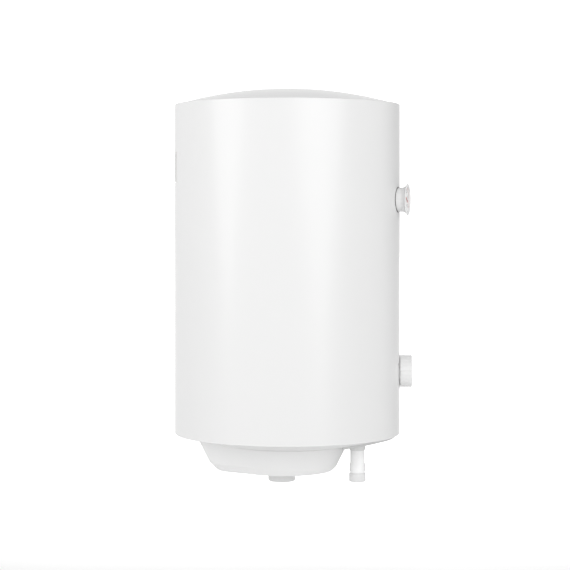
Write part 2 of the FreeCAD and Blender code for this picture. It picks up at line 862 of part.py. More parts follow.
def inlet_diffuser():
    """The slotted hood on top of the cold inlet, which spreads the water sideways."""
    top = "cold_top"
    neck = "pipe_radius + diffuser_wall"
    reach = "pipe_radius + diffuser_reach"
    body = turned(
        "inlet_diffuser",
        ("pipe_radius", f"{top} - diffuser_foot"),
        (neck, f"{top} - diffuser_foot"),
        (neck, top),
        (reach, f"{top} + diffuser_flare"),
        (reach, f"{top} + diffuser_eaves"),
        ("0", f"{top} + diffuser_crown"),
        ("0", f"{top} + diffuser_crown - diffuser_roof"),
        (f"{reach} - diffuser_wall", f"{top} + diffuser_eaves - diffuser_wall"),
        (f"{reach} - diffuser_wall", f"{top} + diffuser_flare + diffuser_wall / 2"),
        ("pipe_radius", top),
        x="pipe_half_spacing",
        y="-pipe_forward",
    )
    low, high = f"{top} + diffuser_slot_low", f"{top} + diffuser_slot_top"
    slot = outline(
        new_sketch(body, "XZ_Plane"),
        ("-diffuser_slot_half", low),
        ("diffuser_slot_half", low),
        ("diffuser_slot_half", high),
        ("-diffuser_slot_half", high),
    )
    cut = extrude(body, "Pocket", slot, f"{reach} + past", backwards=True)
    ring_pattern(body, cut, DIFFUSER_SLOTS)
    finish("inlet_diffuser", body)


def sphere_cut(body, rise, outward):
    """Cuts away what is above the bottom cap's sphere lowered by RISE, or below it where OUTWARD is true."""
    far = "-dome_rise * 3" if outward else "dome_rise"
    edge = "dome_foot + 2 * past"
    foot = (edge, f"-({rise}) + {dome_drop(edge)}")
    corners = (("0", f"-dome_rise - ({rise})", CAP_SPHERE), foot, (edge, far), ("0", far))
    turn_profile(body, "Groove", outline(new_sketch(body, "XZ_Plane"), *corners))


def dome_drop(radius):
    """The height of the bottom cap's sphere at RADIUS from the axis, over the height of its foot."""
    return f"({CAP_SPHERE} - dome_rise - sqrt({CAP_SPHERE} ^ 2 - ({radius}) ^ 2))"


def round_corners(body, radius, wanted):
    """Rounds the body's upright edges whose distance to the back passes the test WANTED."""
    doc.recompute()
    upright = [
        f"Edge{index}"
        for index, edge in enumerate(body.Shape.Edges, start=1)
        if isinstance(edge.Curve, Part.Line)
        and abs(edge.tangentAt(edge.FirstParameter).z) > 0.99
        and wanted(edge.Vertexes[0].Y + number("bracket_face"))
    ]
    before = body.Tip
    rounding = body.newObject("PartDesign::Fillet", f"{body.Name}_rounding")
    rounding.Base = (before, upright)
    rounding.setExpression("Radius", formula(radius))


def pipe_trim_plate():
    """The moulded pad under the front of the bottom cap, which follows its dome and seats the pipe seals."""
    body = new_body("pipe_trim_plate")
    side_reach = "-sqrt(trim_reach ^ 2 - trim_half_width ^ 2)"
    sketch = outline(
        new_sketch(body, lift="-2 * dome_rise"),
        ("-trim_half_width", "-trim_back"),
        ("-trim_half_width", side_reach, "trim_reach"),
        ("trim_half_width", side_reach),
        ("trim_half_width", "-trim_back"),
    )
    extrude(body, "Pad", sketch, "3 * dome_rise")
    inner = circles(new_sketch(body, lift="-2 * dome_rise"), ("0", "cover_front_centre", "trim_cut"))
    extrude(body, "Pocket", inner, "3 * dome_rise", backwards=True)
    round_corners(body, "trim_corner", lambda y: y < -SIZES["pipe_forward"])
    round_corners(body, "trim_tip", lambda y: y > -SIZES["pipe_forward"])
    drill(body, "-2 * dome_rise", "3 * dome_rise", *pipe_discs("seal_radius"))
    sphere_cut(body, "0", False)
    sphere_cut(body, "trim_thick", True)
    finish("pipe_trim_plate", body)


# ---- service cover and cable gland ---------------------------------------------------------------


def egg(sketch, front, back):
    """An egg-shaped outline: a front arc and a back arc on the centre line, joined by their tangents."""
    gap = number("cover_back_centre - cover_front_centre")
    lean = math.asin((number(front) - number(back)) / gap)
    radii = (number(front), number(back))
    centres = [Vector(0, number(name), 0) for name in ("cover_front_centre", "cover_back_centre")]
    toward = Vector(math.cos(lean), math.sin(lean), 0)
    right = [centre + toward * radius for centre, radius in zip(centres, radii)]
    left = [Vector(-point.x, point.y, 0) for point in right]
    axis = Vector(0, 0, 1)
    front_circle, back_circle = (Part.Circle(centre, axis, radius) for centre, radius in zip(centres, radii))
    sketch.addGeometry(Part.ArcOfCircle(front_circle, math.pi - lean, 2 * math.pi + lean))
    sketch.addGeometry(Part.LineSegment(right[0], right[1]))
    sketch.addGeometry(Part.ArcOfCircle(back_circle, lean, math.pi - lean))
    sketch.addGeometry(Part.LineSegment(left[1], left[0]))
    for edge, end, following, start in ((0, 2, 1, 1), (1, 2, 2, 1), (2, 2, 3, 1), (3, 2, 0, 1)):
        sketch.addConstraint(Sketcher.Constraint("Tangent", edge, end, following, start))
    pin_point(sketch, 0, 3, "0", "cover_front_centre")
    pin_point(sketch, 2, 3, "0", "cover_back_centre")
    bind(sketch, Sketcher.Constraint("Radius", 0, number(front)), front)
    bind(sketch, Sketcher.Constraint("Radius", 2, number(back)), back)
    return sketch


def cover_loft(body, kind, inset, floor):
    """Lofts the cover's three outlines, drawn INSET inside them and with the lowest one FLOOR higher."""
    tilt = Rotation(Vector(1, 0, 0), number("cover_edge_tilt"))
    sections = [
        egg(new_sketch(body), f"cover_top_front - {inset}", f"cover_top_back - {inset}"),
        egg(
            new_sketch(body, lift=f"cover_edge_height + {floor} / 2", turn=tilt),
            f"cover_edge_front - {inset}",
            f"cover_edge_back - {inset}",
        ),
        egg(
            new_sketch(body, lift=f"cover_base_height + {floor}"),
            f"cover_base_front - {inset}",
            f"cover_base_back - {inset}",
        ),
    ]
    loft = body.newObject(f"PartDesign::{kind}Loft", f"{body.Name}_{kind.lower()}")
    loft.Profile = sections[0]
    loft.Sections = sections[1:]
    loft.Ruled = True


def service_cover():
    """The tapered tub: hollow, with three screw posts, a gland hole, and its top edge on the bottom cap."""
    body = new_body("service_cover")
    cover_loft(body, "Additive", "0", "0")
    cover_loft(body, "Subtractive", "cover_wall", "cover_wall")
    posts = circles(new_sketch(body, lift="cover_base_height + cover_wall / 2"), *post_discs("post_radius"))
    extrude(body, "Pad", posts, "-cover_base_height")
    drill(body, "cover_base_height - past", "past - cover_base_height", *post_discs("screw_radius"))
    drill(body, "cover_base_height - past", "past + cover_wall", *post_discs("screw_head"))
    drill(body, "cover_base_height - past", "2 * past", ("0", "gland_back", "gland_thread"))
    sphere_cut(body, "0", False)
    finish("service_cover", body)
    cover_screws()


def cover_screws():
    """The three slotted screws that hold the cover, with their heads sunk in its base."""
    seat = "cover_base_height + cover_wall"
    head_low = f"{seat} - screw_head_height"
    screws = []
    for index, (x, y, radius) in enumerate(post_discs("screw_radius")):
        screw = turned(
            f"cover_screw_{index}",
            ("0", head_low),
            ("screw_head", head_low),
            ("screw_head", seat),
            (radius, seat),
            (radius, "screw_top"),
            ("0", "screw_top + screw_tip"),
            x=x,
            y=y,
        )
        sketch = new_sketch(screw, lift=head_low)
        slot = outline(sketch, *oblong("screw_slot_half", "screw_slot_side"))
        extrude(screw, "Pocket", slot, "screw_slot_depth", backwards=True)
        screws.append(screw)
    group("service_cover_screws", *screws)


def oblong(half, side):
    """The corners of a rectangle round the middle, HALF long and SIDE wide each way."""
    return ((f"-{half}", f"-{side}"), (half, f"-{side}"), (half, side), (f"-{half}", side))


def cable_gland():
    """The round gland under the cover: its cap nut, rubber seal, threaded body and the lock nut inside."""
    nut = turned(
        "gland_nut",
        ("gland_mouth", "gland_low"),
        ("gland_radius - gland_edge", "gland_low", "gland_edge"),
        ("gland_radius", "gland_low + gland_edge"),
        ("gland_radius", "cover_base_height"),
        ("gland_thread", "cover_base_height"),
        ("gland_thread", "gland_seal_low"),
        ("gland_mouth", "gland_seal_low"),
        y="gland_back",
    )
    finish("gland_nut", nut)
    for name, low, high, bore in (
        ("gland_seal", "gland_seal_low", "gland_seal_top", "gland_seal_bore"),
        ("gland_body", "gland_seal_top", "gland_body_top", "gland_body_bore"),
    ):
        finish(name, rod(name, "gland_thread", low, high, bore=bore, y="gland_back"))
    lock_nut = new_body("gland_lock_nut", y="gland_back")
    sketch = new_sketch(lock_nut, lift="cover_base_height + cover_wall")
    circles(outline(sketch, *hexagon("lock_nut_flat")), ("0", "0", "gland_thread"))
    extrude(lock_nut, "Pad", sketch, "lock_nut_thick")
    finish("gland_lock_nut", lock_nut)


# ---- wall bracket --------------------------------------------------------------------------------


def wall_bracket():
    """A pressed channel welded to the vessel, flush in the jacket's window, with two slots for hooks."""
    body = new_body("wall_bracket", z="bracket_height")
    inner = "bracket_half - bracket_thick"
    foot = "sqrt(tank_radius ^ 2 - bracket_half ^ 2)"
    inner_foot = f"sqrt(tank_radius ^ 2 - ({inner}) ^ 2)"
    profile = outline(
        new_sketch(body),
        ("-bracket_half", foot, "-tank_radius"),
        (f"-({inner})", inner_foot),
        (f"-({inner})", "bracket_face - bracket_thick"),
        (inner, "bracket_face - bracket_thick"),
        (inner, inner_foot, "-tank_radius"),
        ("bracket_half", foot),
        ("bracket_half", "bracket_face - bracket_bend", "bracket_bend"),
        ("bracket_half - bracket_bend", "bracket_face"),
        ("-bracket_half + bracket_bend", "bracket_face", "bracket_bend"),
        ("-bracket_half", "bracket_face - bracket_bend"),
    )
    extrude(body, "Pad", profile, "2 * bracket_rise", middle=True)
    slots = new_sketch(body, "XZ_Plane", lift="-pocket_floor")
    for side in ("-slot_half_spacing", "slot_half_spacing"):
        left, right = f"({side} - slot_reach)", f"({side} + slot_reach)"
        outline(
            slots,
            (left, "-slot_radius"),
            (right, "-slot_radius", "slot_radius"),
            (right, "slot_radius"),
            (left, "slot_radius", "slot_radius"),
        )
    extrude(body, "Pocket", slots, "jacket_radius - pocket_floor")
    finish("wall_bracket", body)


# ---- thermostat on the front ---------------------------------------------------------------------


def outside_jacket(name, core, **place):
    """The jacket's whole cylinder less a round CORE: what a piece on the jacket's skin has to clear."""
    drum = doc.addObject("Part::Cylinder", f"{name}_drum")
    drum.setExpression("Radius", formula("jacket_radius"))
    drum.setExpression("Height", formula("jacket_height"))
    locate(drum)
    core_rod = rod(f"{name}_core", core, "tank_radius", "jacket_radius + past", **place)
    return take_away(f"{name}_drum", drum, core_rod)


def thermostat():
    """The thermostat in its well behind the jacket, with the ring outside it and its two screws."""
    cup = turned(
        "housing_cup",
        ("0", "housing_low"),
        ("housing_radius", "housing_low"),
        ("housing_radius", "housing_top"),
        ("housing_radius - housing_wall", "housing_top"),
        ("housing_radius - housing_wall", "housing_low + housing_wall"),
        ("0", "housing_low + housing_wall"),
        **AT_KNOB,
    )
    rim = "knob_height - housing_radius"
    notch = block(
        "housing_notch",
        ("-notch_half", "-capillary_out - notch_half", f"{rim} - notch_half"),
        ("notch_half", "-capillary_out + notch_half", f"{rim} + housing_wall + notch_half"),
    )
    finish("thermostat_housing", take_away("housing", cup, notch))
    ring = turned(
        "dial_ring_blank",
        ("dial_bore", "dial_front - dial_wall"),
        ("dial_bore", "dial_front"),
        ("dial_radius - dial_edge", "dial_front"),
        ("dial_radius", "dial_front - dial_edge"),
        ("dial_radius", "jacket_radius - dial_flange"),
        ("dial_neck", "jacket_radius - dial_flange"),
        ("dial_neck", "housing_top + dial_gap"),
        ("dial_neck - housing_wall", "housing_top + dial_gap"),
        ("dial_neck - housing_wall", "dial_front - dial_wall"),
        **AT_KNOB,
    )
    holes = [
        rod(f"dial_hole_{name}", "stat_screw_radius", "dial_back", "dial_front + past", x=side, **AT_KNOB)
        for name, side in STAT_SCREWS
    ]
    skin = outside_jacket("dial_ring", "dial_neck", **AT_KNOB)
    finish("dial_ring", take_away("dial_ring", ring, skin, *holes))
    stat = new_body("thermostat_body", **AT_KNOB)
    square = outline(new_sketch(stat, lift="stat_low"), *oblong("stat_half", "stat_half"))
    extrude(stat, "Pad", square, "dial_back - stat_low")
    bush = circles(new_sketch(stat, lift="dial_back"), ("0", "0", "stat_bush"))
    extrude(stat, "Pad", bush, "dial_front - dial_wall - dial_back")
    drill(stat, "spindle_low - spindle_gap", "dial_front - spindle_low", ("0", "0", "spindle_bore"))
    threads = [(side, "0", "stat_screw_radius") for name, side in STAT_SCREWS]
    drill(stat, "dial_back - stat_screw_depth", "stat_screw_depth + past", *threads)
    finish("thermostat_body", stat)
    screws = [
        turned(
            f"stat_screw_{name}",
            ("0", "dial_back - stat_screw_depth"),
            ("stat_screw_radius", "dial_back - stat_screw_depth"),
            ("stat_screw_radius", "dial_front"),
            ("stat_screw_head", "dial_front"),
            ("stat_screw_head", "dial_front + stat_screw_rise"),
            ("0", "dial_front + stat_screw_rise + stat_screw_crown"),
            x=side,
            **AT_KNOB,
        )
        for name, side in STAT_SCREWS
    ]
    group("thermostat_screws", *screws)


def knob():
    """The fluted control knob, its inlaid pointer and the spindle it is pressed on."""
    turn = TO_FRONT.multiply(Rotation(Vector(0, 0, 1), KNOB_REST))
    place = {"z": "knob_height", "turn": turn}
    face = "knob_front - knob_dish"
    body = turned(
        "thermostat_knob",
        ("spindle_radius", "knob_back + knob_lift"),
        ("knob_hub", "knob_back + knob_lift"),
        ("knob_hub", "knob_hollow"),
        ("knob_skirt", "knob_hollow"),
        ("knob_skirt", "knob_back"),
        ("knob_radius", "knob_back"),
        ("knob_radius", "knob_front - knob_edge", "knob_edge"),
        ("knob_radius - knob_edge", "knob_front"),
        ("knob_radius - knob_band", "knob_front"),
        ("knob_radius - knob_band - knob_slope", face),
        ("0", face),
        ("0", "spindle_top"),
        ("spindle_radius", "spindle_top"),
        **place,
    )
    groove = outline(new_sketch(body, lift=f"{face} - pointer_sink"), *POINTER)
    extrude(body, "Pocket", groove, "pointer_sink + past", backwards=True)
    flute = circles(new_sketch(body, lift="knob_back"), ("knob_radius + flute_out", "0", "flute_radius"))
    cut = extrude(body, "Pocket", flute, "knob_front - knob_back", backwards=True)
    ring_pattern(body, cut, FLUTES)
    finish("thermostat_knob", body)
    pointer = new_body("knob_pointer", **place)
    inlay = outline(new_sketch(pointer, lift=f"{face} - pointer_sink"), *POINTER)
    extrude(pointer, "Pad", inlay, "pointer_thick")
    finish("knob_pointer", pointer)
    spindle = rod("thermostat_spindle", "spindle_radius", "spindle_low", "spindle_top", **place)
    finish("thermostat_spindle", spindle)


# ---- thermometer on the front --------------------------------------------------------------------


def thermometer():
    """A dial thermometer: cup through the jacket, flared bezel, dial, pivot, needle and lens."""
    cup = turned(
        "thermometer_housing",
        ("0", "gauge_low"),
        ("gauge_radius", "gauge_low"),
        ("gauge_radius", "dial_plate"),
        ("gauge_bore", "dial_plate"),
        ("gauge_bore", "gauge_low + gauge_floor"),
        ("0", "gauge_low + gauge_floor"),
        **AT_GAUGE,
    )
    finish("thermometer_housing", cup)
    flare = dome_radius("bezel_flare_top - bezel_flare_low", "bezel_rim - bezel_base")
    blank = turned(
        "bezel_blank",
        ("gauge_radius", "jacket_radius - bezel_flange"),
        ("bezel_base", "jacket_radius - bezel_flange"),
        ("bezel_base", "bezel_flare_low", f"-{flare}"),
        ("bezel_rim", "bezel_flare_top"),
        ("bezel_rim", "bezel_front - bezel_edge"),
        ("bezel_rim - bezel_edge", "bezel_front"),
        ("bezel_lip", "bezel_front"),
        ("bezel_seat", "lens_low + lens_thick"),
        ("bezel_seat", "dial_plate"),
        ("gauge_radius", "dial_plate"),
        **AT_GAUGE,
    )
    finish("thermometer_bezel", take_away("bezel", blank, outside_jacket("bezel", "gauge_bore", **AT_GAUGE)))
    plate_top = "dial_plate + dial_plate_thick"
    plate = rod("thermometer_dial", "bezel_seat", "dial_plate", plate_top, bore="pivot_radius", **AT_GAUGE)
    finish("thermometer_dial", plate)
    pivot = rod("needle_pivot", "pivot_radius", "dial_plate", "lens_low - pivot_gap", **AT_GAUGE)
    finish("needle_pivot", pivot)
    lens = rod("thermometer_lens", "bezel_seat", "lens_low", "lens_low + lens_thick", **AT_GAUGE)
    finish("thermometer_lens", lens)
    turn = GAUGE_FRONT.multiply(Rotation(Vector(0, 0, 1), NEEDLE_REST))
    needle = new_body("thermometer_needle", z="gauge_height", turn=turn)
    sketch = outline(
        new_sketch(needle, lift="needle_low"),
        ("-needle_tip", "needle_reach"),
        ("-needle_middle", "0"),
        ("-needle_end", "-needle_tail"),
        ("needle_end", "-needle_tail"),
        ("needle_middle", "0"),
        ("needle_tip", "needle_reach"),
    )
    circles(sketch, ("0", "0", "pivot_bore"))
    extrude(needle, "Pad", sketch, "needle_thick")
    finish("thermometer_needle", needle)


# ---- electrical parts under the flange -----------------------------------------------------------


def terminal_strip():
    """The strip on the element's studs, and the terminal block with its sunk screws at one end of it."""
    strip = new_body("terminal_bracket", y="flange_back")
    sketch = outline(
        new_sketch(strip, lift="strip_low"),
        ("-strip_left", "-strip_half"),
        ("strip_right", "-strip_half"),
        ("strip_right", "strip_half"),
        ("-strip_left", "strip_half"),
    )
    circles(sketch, ("-element_spread", "0", "strip_hole"), ("element_spread", "0", "strip_hole"))
    extrude(strip, "Pad", sketch, "strip_thick")
    finish("terminal_bracket", strip)
    box = block(
        "block_box",
        ("block_left", "block_front", "block_low"),
        ("strip_right", "block_back", "strip_low"),
    )
    wells, screws = [], []
    for index in range(BLOCK_SCREWS):
        place = {"x": "block_well_side", "y": f"{index} * block_well_step + block_well_front"}
        top = "block_low + block_well_depth"
        wells.append(rod(f"block_well_{index}", "block_well", "block_low - past", top, **place))
        low = f"{top} - block_screw_height"
        screw = rod(f"terminal_screw_{index}", "block_screw_radius", low, top, **place)
        slot = outline(new_sketch(screw, lift=low), *oblong("block_slot_half", "block_slot_side"))
        extrude(screw, "Pocket", slot, "block_slot_depth", backwards=True)
        screws.append(screw)
    finish("terminal_block", take_away("terminal_block", box, *wells))
    group("terminal_screws", *screws)


def safety_cutout():
    """The thermal cut-out under the strip, and the button that resets it."""
    place = {"x": "-cutout_side", "y": "flange_back"}
    cutout = turned(
        "thermal_cutout",
        ("button_bore", "block_low"),
        ("cutout_nose", "block_low"),
        ("cutout_nose", "block_low + cutout_step"),
        ("cutout_radius", "block_low + cutout_step"),
        ("cutout_radius", "strip_low"),
        ("0", "strip_low"),
        ("0", "strip_low - cutout_depth"),
        ("button_bore", "strip_low - cutout_depth"),
        **place,
    )
    finish("thermal_cutout", cutout)
    button = turned(
        "reset_button",
        ("0", "button_low"),
        ("button_radius - button_edge", "button_low"),
        ("button_radius", "button_low + button_edge"),
        ("button_radius", "button_low + button_length"),
        ("0", "button_low + button_length"),
        **place,
    )
    finish("reset_button", button)


def earth_and_wires():
    """The earth stud with its nut, and the four wires between the parts under the flange."""
    stud = {"x": "earth_side", "y": "-earth_front"}
    finish("earth_stud", rod("earth_stud", "earth_radius", f"{PLATE_LOW} - earth_length", PLATE_LOW, **stud))
    nut = new_body("earth_nut", **stud)
    sketch = outline(new_sketch(nut, lift=f"{PLATE_LOW} - earth_nut_low"), *hexagon("earth_nut_flat"))
    extrude(nut, "Pad", circles(sketch, ("0", "0", "earth_radius")), "earth_nut_height")
    finish("earth_nut", nut)
    for name, *route in (
        ("live", ("33.8", "5", "-38"), ("26", "5", "-40"), ("-16", "5", "-40"), ("-24.5", "10", "-36")),
        ("load", ("-31", "25.4", "-34"), ("-27", "34", "-34"), ("-18", "30", "-33"), ("-18", "18", "-33")),
        ("neutral", ("33.8", "20", "-34"), ("26", "20", "-34"), ("21.3", "16", "-33")),
        ("earth", ("40", "-2.2", "-36"), ("40", "-12", "-36"), ("30", "-12", "-28"), ("22", "-12", "-27.5")),
    ):
        bent_rod(f"wire_{name}", "wire_radius", "wire_bend", *route)


# ---- the whole heater ----------------------------------------------------------------------------

for build_piece in (
    outer_jacket,
    top_cap,
    bottom_cap,
    foam_insulation,
    tank,
    flange_pieces,
    heating_element,
    anode_and_sensor,
    water_pipes,
    pipe_trim_plate,
    service_cover,
    cable_gland,
    wall_bracket,
    thermostat,
    knob,
    thermometer,
    terminal_strip,
    safety_cutout,
    earth_and_wires,
):
    build_piece()
doc.recompute()

failed = [item.Name for item in doc.Objects if {"Invalid", "Error"} & set(item.State)]
failed += [name for name, piece in pieces.items() if piece.Shape.isNull() or not piece.Shape.isValid()]
if failed:
    raise RuntimeError(f"these did not build: {failed}")

os.makedirs("parts", exist_ok=True)
for name, piece in pieces.items():
    piece.Shape.exportStep(f"parts/{name}.step")
    print(name, len(piece.Shape.Solids), round(piece.Shape.Volume))
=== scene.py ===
"""A slim wall-hung storage water heater in white enamel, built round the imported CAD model. Lengths are in metres."""

import json
import math

import bmesh
import bpy
from mathutils import Matrix, Vector


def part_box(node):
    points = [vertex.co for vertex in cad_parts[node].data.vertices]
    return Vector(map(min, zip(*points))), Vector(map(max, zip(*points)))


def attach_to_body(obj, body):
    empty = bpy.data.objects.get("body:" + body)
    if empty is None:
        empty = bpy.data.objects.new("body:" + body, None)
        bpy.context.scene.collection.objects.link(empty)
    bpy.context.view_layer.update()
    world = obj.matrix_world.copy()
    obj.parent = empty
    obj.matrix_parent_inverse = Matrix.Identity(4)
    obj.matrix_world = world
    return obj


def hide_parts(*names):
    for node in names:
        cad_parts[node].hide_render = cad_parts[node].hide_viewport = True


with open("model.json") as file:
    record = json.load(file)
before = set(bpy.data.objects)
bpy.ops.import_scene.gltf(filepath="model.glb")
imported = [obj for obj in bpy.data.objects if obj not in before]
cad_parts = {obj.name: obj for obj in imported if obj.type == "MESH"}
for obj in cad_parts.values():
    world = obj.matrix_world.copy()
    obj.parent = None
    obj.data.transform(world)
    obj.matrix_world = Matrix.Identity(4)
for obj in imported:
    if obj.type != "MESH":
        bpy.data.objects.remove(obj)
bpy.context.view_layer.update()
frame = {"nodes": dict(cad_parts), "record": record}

MM = 0.001
jacket_low, jacket_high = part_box("outer_jacket")
RADIUS = (jacket_high.x - jacket_low.x) / 2
AXIS_Y = jacket_low.y + RADIUS
RIM = jacket_low.z - 2 * MM
DOME_RISE = 23.7 * MM
DOME_FOOT = 165 * MM
DOME_SPHERE = (DOME_FOOT**2 + DOME_RISE**2) / (2 * DOME_RISE)


def centre_of(node):
    low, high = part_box(node)
    return (low + high) / 2


# ---- materials -------------------------------------------------------------------------------------------------------


def new_material(name):
    material = bpy.data.materials.new(name)
    material.use_nodes = True
    tree = material.node_tree
    shader = tree.nodes["Principled BSDF"]
    return material, tree, shader


def add_node(tree, kind, inputs=None, **settings):
    node = tree.nodes.new(kind)
    for key, value in settings.items():
        setattr(node, key, value)
    for key, value in (inputs or {}).items():
        node.inputs[key].default_value = value
    return node


def noise_node(tree, scale, detail=3.0, roughness=0.55):
    """A noise texture over the object's own coordinates, SCALE features to the metre."""
    where = add_node(tree, "ShaderNodeTexCoord")
    texture = add_node(tree, "ShaderNodeTexNoise", {"Scale": scale, "Detail": detail, "Roughness": roughness})
    tree.links.new(where.outputs["Object"], texture.inputs["Vector"])
    return texture


def ramp_node(tree, source, *stops):
    """A colour ramp over SOURCE, with a (position, colour) for each stop."""
    ramp = add_node(tree, "ShaderNodeValToRGB")
    while len(ramp.color_ramp.elements) < len(stops):
        ramp.color_ramp.elements.new(0.5)
    for element, (position, colour) in zip(ramp.color_ramp.elements, stops):
        element.position = position
        element.color = (*colour, 1)
    tree.links.new(source, ramp.inputs["Fac"])
    return ramp


def range_node(tree, source, low, high):
    """SOURCE, which mostly runs from 0.25 to 0.75, spread from LOW to HIGH."""
    ends = {"To Min": 1.5 * low - 0.5 * high, "To Max": 1.5 * high - 0.5 * low}
    spread = add_node(tree, "ShaderNodeMapRange", ends)
    tree.links.new(source, spread.inputs["Value"])
    return spread.outputs["Result"]


def tone(colour, share):
    return tuple(min(1.0, value * share) for value in colour)


def finish_material(name, colour, rough, patch=12, shade=0.03, grain=2500, relief=0.00001, peel=0, **sockets):
    """A surface with faint patches of shade and gloss, and a fine grain.

    COLOUR is linear and ROUGH a (low, high) pair. PATCH and GRAIN are the features to the metre, RELIEF is the grain's
    depth, and PEEL the scale of a wider ripple under it, or 0. SOCKETS are the shader's own, set to one value each.
    """
    material, tree, shader = new_material(name)
    patches = noise_node(tree, patch, 4.0)
    mottle = ramp_node(tree, patches.outputs["Fac"], (0.3, tone(colour, 1 - shade)), (0.7, tone(colour, 1 + shade / 3)))
    tree.links.new(mottle.outputs["Color"], shader.inputs["Base Color"])
    gloss = noise_node(tree, patch * 6, 5.0)
    tree.links.new(range_node(tree, gloss.outputs["Fac"], *rough), shader.inputs["Roughness"])
    fine = noise_node(tree, grain, 2.0)
    bump = add_node(tree, "ShaderNodeBump", {"Strength": 0.6, "Distance": relief})
    tree.links.new(fine.outputs["Fac"], bump.inputs["Height"])
    if peel:
        ripple = noise_node(tree, peel, 1.0)
        wide = add_node(tree, "ShaderNodeBump", {"Strength": 0.5, "Distance": relief * 2})
        tree.links.new(ripple.outputs["Fac"], wide.inputs["Height"])
        tree.links.new(wide.outputs["Normal"], bump.inputs["Normal"])
    tree.links.new(bump.outputs["Normal"], shader.inputs["Normal"])
    for socket, value in sockets.items():
        shader.inputs[socket.replace("_", " ")].default_value = value
    return material


def metal(name, colour, rough):
    return finish_material(
        name, colour, rough, patch=40, shade=0.12, grain=6000, relief=0.000008, Metallic=1.0
    )


MATERIALS = {
    "white_paint": finish_material(
        "white_enamel_paint", (0.705, 0.705, 0.704), (0.3, 0.32), patch=5, shade=0.006, grain=1400, relief=0.000006,
        peel=260, Coat_Weight=0.15, Coat_Roughness=0.15,
    ),
    "white_plastic": finish_material(
        "white_moulded_plastic", (0.785, 0.785, 0.783), (0.36, 0.44), patch=9, shade=0.015, grain=3200, relief=0.000012,
    ),
    "trim_plastic": finish_material(
        "textured_trim_plastic", (0.6, 0.6, 0.598), (0.5, 0.6), patch=14, shade=0.02, grain=1500, relief=0.00005,
    ),
    "pipe_white": finish_material(
        "white_coated_steel", (0.83, 0.83, 0.83), (0.3, 0.42), patch=60, shade=0.05, grain=2200, relief=0.00002,
        peel=500,
    ),
    "bare_steel": metal("zinc_plated_steel", (0.6, 0.6, 0.58), (0.32, 0.45)),
    "enamel": finish_material(
        "blue_vitreous_enamel", (0.02, 0.035, 0.11), (0.12, 0.3), patch=90, shade=0.25, grain=900, relief=0.00004,
    ),
    "foam": finish_material(
        "polyurethane_foam", (0.76, 0.66, 0.4), (0.85, 0.95), patch=70, shade=0.18, grain=700, relief=0.0009, peel=120,
    ),
    "copper": metal("copper_tube", (0.82, 0.43, 0.28), (0.32, 0.44)),
    "brass": metal("turned_brass", (0.8, 0.6, 0.28), (0.31, 0.4)),
    "magnesium": metal("cast_magnesium", (0.55, 0.56, 0.57), (0.45, 0.62)),
    "black_rubber": finish_material("black_rubber", (0.02, 0.02, 0.02), (0.6, 0.75), grain=1800, relief=0.00004),
    "white_rubber": finish_material(
        "white_rubber", (0.66, 0.66, 0.655), (0.5, 0.65), patch=30, grain=1800, relief=0.00004,
    ),
    "dark_plastic": finish_material(
        "black_phenolic_plastic", (0.03, 0.03, 0.032), (0.35, 0.5), grain=1600, relief=0.00003,
    ),
    "red_plastic": finish_material("red_moulded_plastic", (0.5, 0.02, 0.015), (0.3, 0.42), grain=2400),
    "dial_white": finish_material("printed_dial_face", (0.9, 0.9, 0.895), (0.4, 0.5), patch=30, shade=0.015),
    "needle_red": finish_material("red_lacquer", (0.55, 0.015, 0.01), (0.31, 0.38), patch=200, grain=4000),
    "pointer_grey": finish_material("grey_inlay", (0.12, 0.125, 0.135), (0.4, 0.5), patch=120, grain=3000),
    "wire_brown": finish_material("brown_wire_sleeve", (0.1, 0.035, 0.015), (0.4, 0.52), patch=150, grain=2500),
    "wire_blue": finish_material("blue_wire_sleeve", (0.02, 0.07, 0.4), (0.4, 0.52), patch=150, grain=2500),
    "wire_green": finish_material("green_wire_sleeve", (0.05, 0.26, 0.03), (0.4, 0.52), patch=150, grain=2500),
    "lens_clear": finish_material(
        "clear_lens", (0.97, 0.98, 0.98), (0.02, 0.05), patch=60, shade=0.01, grain=900, relief=0.000002,
        Alpha=0.08, IOR=1.49,
    ),
}
SOCKET_WHITE = finish_material(
    "white_coated_socket", (0.69, 0.69, 0.69), (0.34, 0.46), patch=60, shade=0.04, grain=2200, relief=0.00002, peel=500,
)
NYLON_WHITE = finish_material(
    "white_moulded_nylon", (0.7, 0.7, 0.698), (0.4, 0.5), patch=30, shade=0.02, relief=0.00002,
)
# A lighter copy of the white enamel paint for the bottom cap: painted light that lifts the shade under the jacket's
# rim.
SHADE_LIFTED_PAINT = finish_material(
    "white_paint_painted_light", (0.74, 0.74, 0.739), (0.3, 0.34), patch=5, shade=0.006, grain=1400, relief=0.000006, peel=260,
)
PRINT_GREY = finish_material("grey_print", (0.16, 0.165, 0.175), (0.4, 0.52), patch=220, shade=0.08, grain=3000)
PRINT_BLACK = finish_material("black_print", (0.02, 0.02, 0.022), (0.4, 0.5), patch=260, shade=0.1, grain=3000)
PRINT_BLUE = finish_material("blue_print", (0.05, 0.22, 0.62), (0.4, 0.5), patch=260, shade=0.08, grain=3000)
PRINT_RED = finish_material("red_print", (0.72, 0.16, 0.12), (0.4, 0.5), patch=260, shade=0.08, grain=3000)

# The bottom cap takes the lighter copy of the paint, painted light against the shade under the rim.
OWN_FINISH = {
    "bottom_cap": SHADE_LIFTED_PAINT, "gland_nut": NYLON_WHITE, "gland_body": NYLON_WHITE, "gland_lock_nut": NYLON_WHITE,
}
slot_of = {part["node"]: part["material_slot"] for part in frame["record"]["subparts"]}
for name, node in frame["nodes"].items():
    for place in node.material_slots:
        place.material = OWN_FINISH.get(name) or MATERIALS[slot_of[name]]


# ---- mesh helpers ----------------------------------------------------------------------------------------------------


